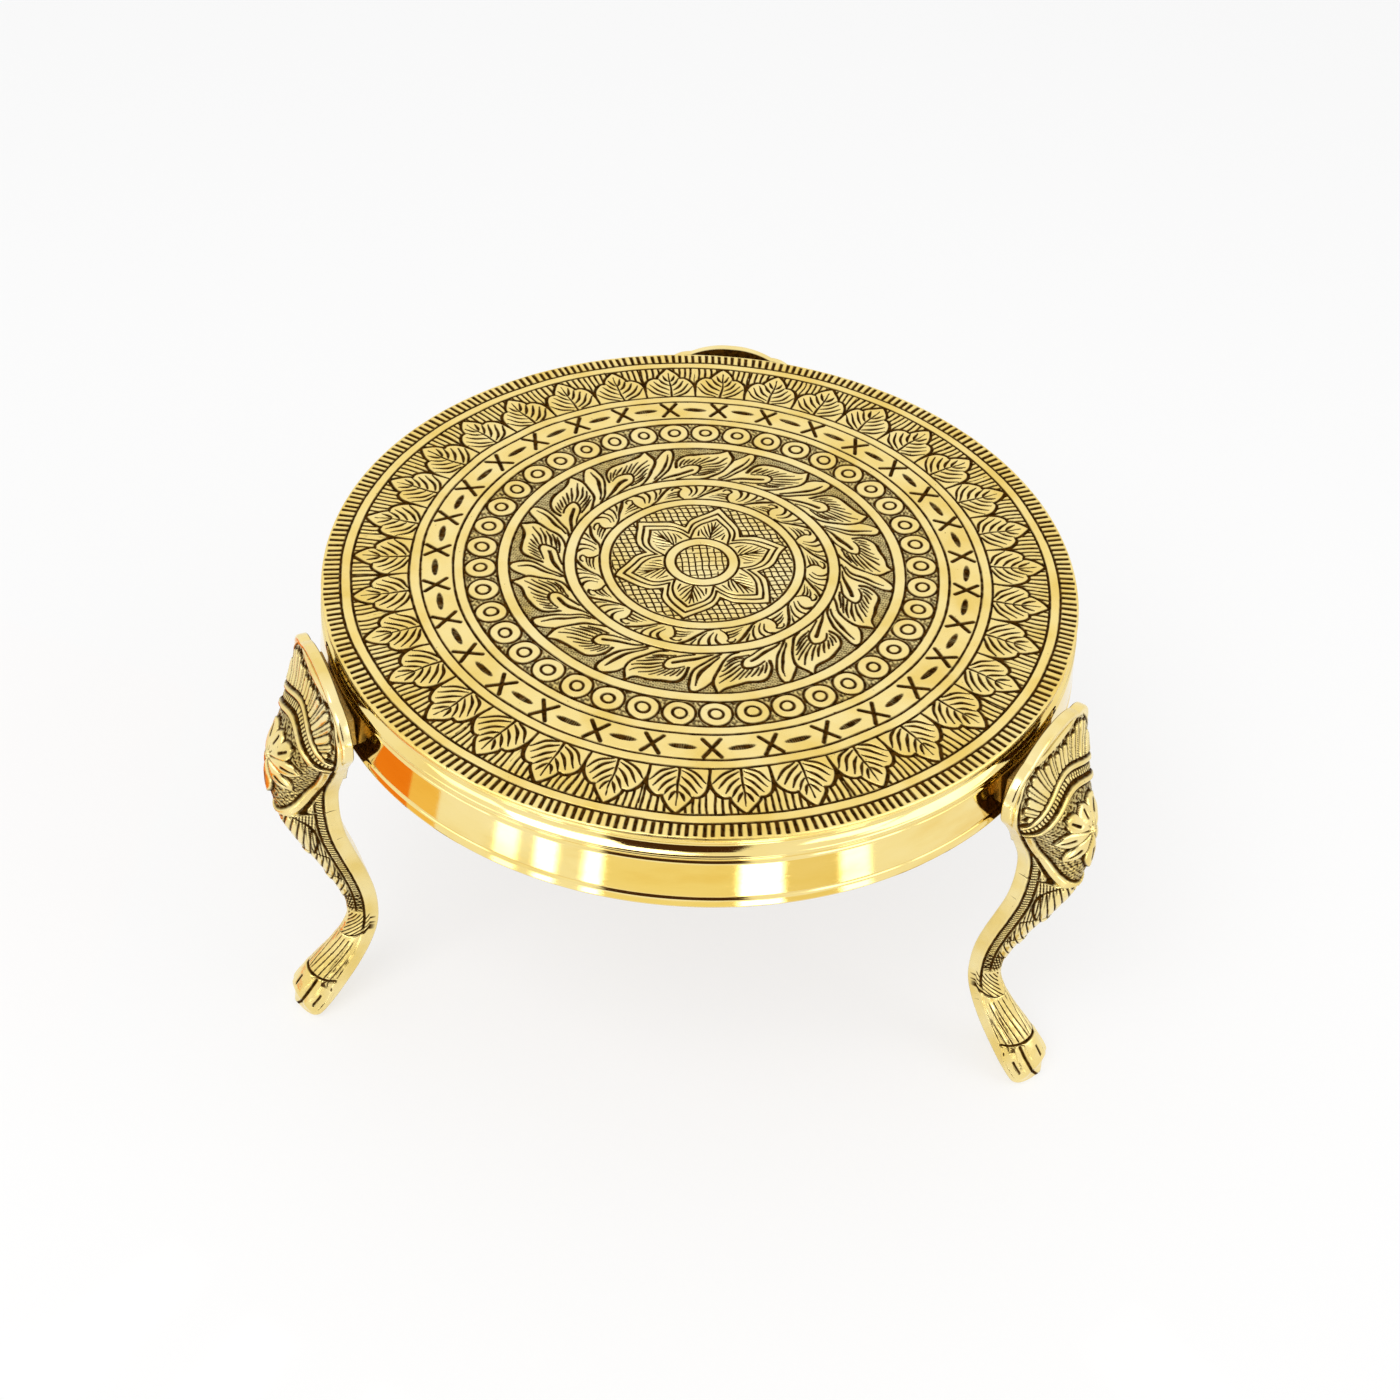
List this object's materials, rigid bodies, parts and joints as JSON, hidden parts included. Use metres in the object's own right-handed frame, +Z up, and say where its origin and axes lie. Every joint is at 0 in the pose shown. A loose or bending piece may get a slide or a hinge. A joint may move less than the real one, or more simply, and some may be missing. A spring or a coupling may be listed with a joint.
{
  "type": "round offering stand",
  "caption": "Low round brass stand for offerings: an engraved drum-shaped top with a polished wall, on cast cabriole legs with paw feet.",
  "frame": {"origin": "centre of the top face, on the axis of the drum", "axes": "+Z up out of the top face, +Y towards the back leg, -Y towards the viewer"},
  "size_m": [0.2714, 0.2793, 0.1559],
  "materials": {
    "brass_drum": "polished, with dark patina in the engraved lines",
    "brass_leg": "cast relief with dark patina in the recesses and polished edges",
    "fasteners": "bright zinc plate"
  },
  "bodies": {
    "root": {"top_drum": "brass_drum", "leg_back": "brass_leg", "leg_left": "brass_leg", "leg_right": "brass_leg", "screw_back_1": "fasteners", "washer_back_1": "fasteners", "spring_washer_back_1": "fasteners", "screw_back_2": "fasteners", "washer_back_2": "fasteners", "spring_washer_back_2": "fasteners", "screw_left_1": "fasteners", "washer_left_1": "fasteners", "spring_washer_left_1": "fasteners", "screw_left_2": "fasteners", "washer_left_2": "fasteners", "spring_washer_left_2": "fasteners", "screw_right_1": "fasteners", "washer_right_1": "fasteners", "spring_washer_right_1": "fasteners", "screw_right_2": "fasteners", "washer_right_2": "fasteners", "spring_washer_right_2": "fasteners"}
  },
  "joints": []
}
